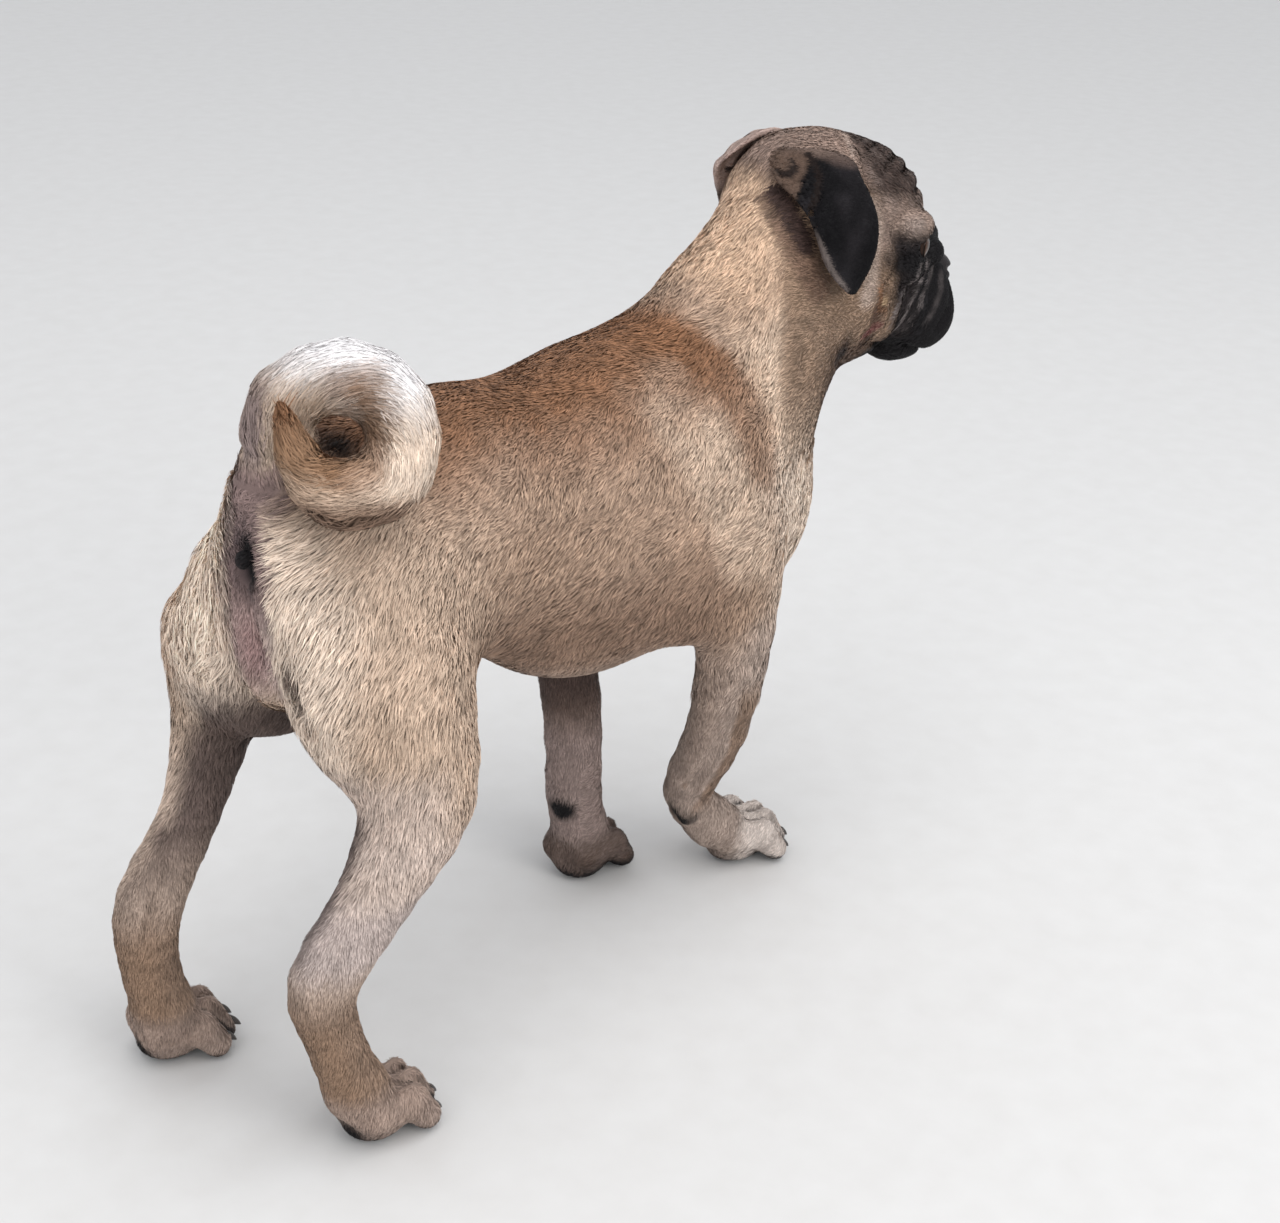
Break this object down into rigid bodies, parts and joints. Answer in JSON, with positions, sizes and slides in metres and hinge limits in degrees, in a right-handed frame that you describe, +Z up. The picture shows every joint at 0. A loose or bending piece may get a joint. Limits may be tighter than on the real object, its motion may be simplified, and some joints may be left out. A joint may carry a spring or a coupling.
{
  "type": "pug",
  "caption": "Standing pug with its head turned to its right, drop ears, a short folded muzzle and a tail curled over the hip; a still life-size display model.",
  "frame": {"origin": "middle of the model's box on the floor, between the four paws", "axes": "+X from rump to chest, +Y towards the dog's left, +Z up; the soles stand on z = 0"},
  "size_m": [0.4812, 0.1558, 0.3711],
  "materials": {
    "coat": "short flat fawn fur, nearly matt",
    "ear": "black velvety leather of the ear",
    "nose": "moist black skin with a fine grain",
    "eye": "wet, very dark brown",
    "claw": "dark horn, half gloss"
  },
  "bodies": {
    "root": {"ear_left": "ear", "ear_right": "ear", "eye_left": "eye", "eye_right": "eye", "fore_left_claw_1": "claw", "fore_left_claw_2": "claw", "fore_left_claw_3": "claw", "fore_left_claw_4": "claw", "fore_left_paw": "coat", "fore_right_claw_1": "claw", "fore_right_claw_2": "claw", "fore_right_claw_3": "claw", "fore_right_claw_4": "claw", "fore_right_paw": "coat", "foreleg_left": "coat", "foreleg_right": "coat", "head": "coat", "hind_left_claw_1": "claw", "hind_left_claw_2": "claw", "hind_left_claw_3": "claw", "hind_left_claw_4": "claw", "hind_left_paw": "coat", "hind_right_claw_1": "claw", "hind_right_claw_2": "claw", "hind_right_claw_3": "claw", "hind_right_claw_4": "claw", "hind_right_paw": "coat", "hock_left": "coat", "hock_right": "coat", "lower_jaw": "coat", "neck": "coat", "nose": "nose", "shank_left": "coat", "shank_right": "coat", "tail_base": "coat", "tail_middle": "coat", "tail_tip": "coat", "thigh_left": "coat", "thigh_right": "coat", "torso": "coat"}
  },
  "joints": []
}
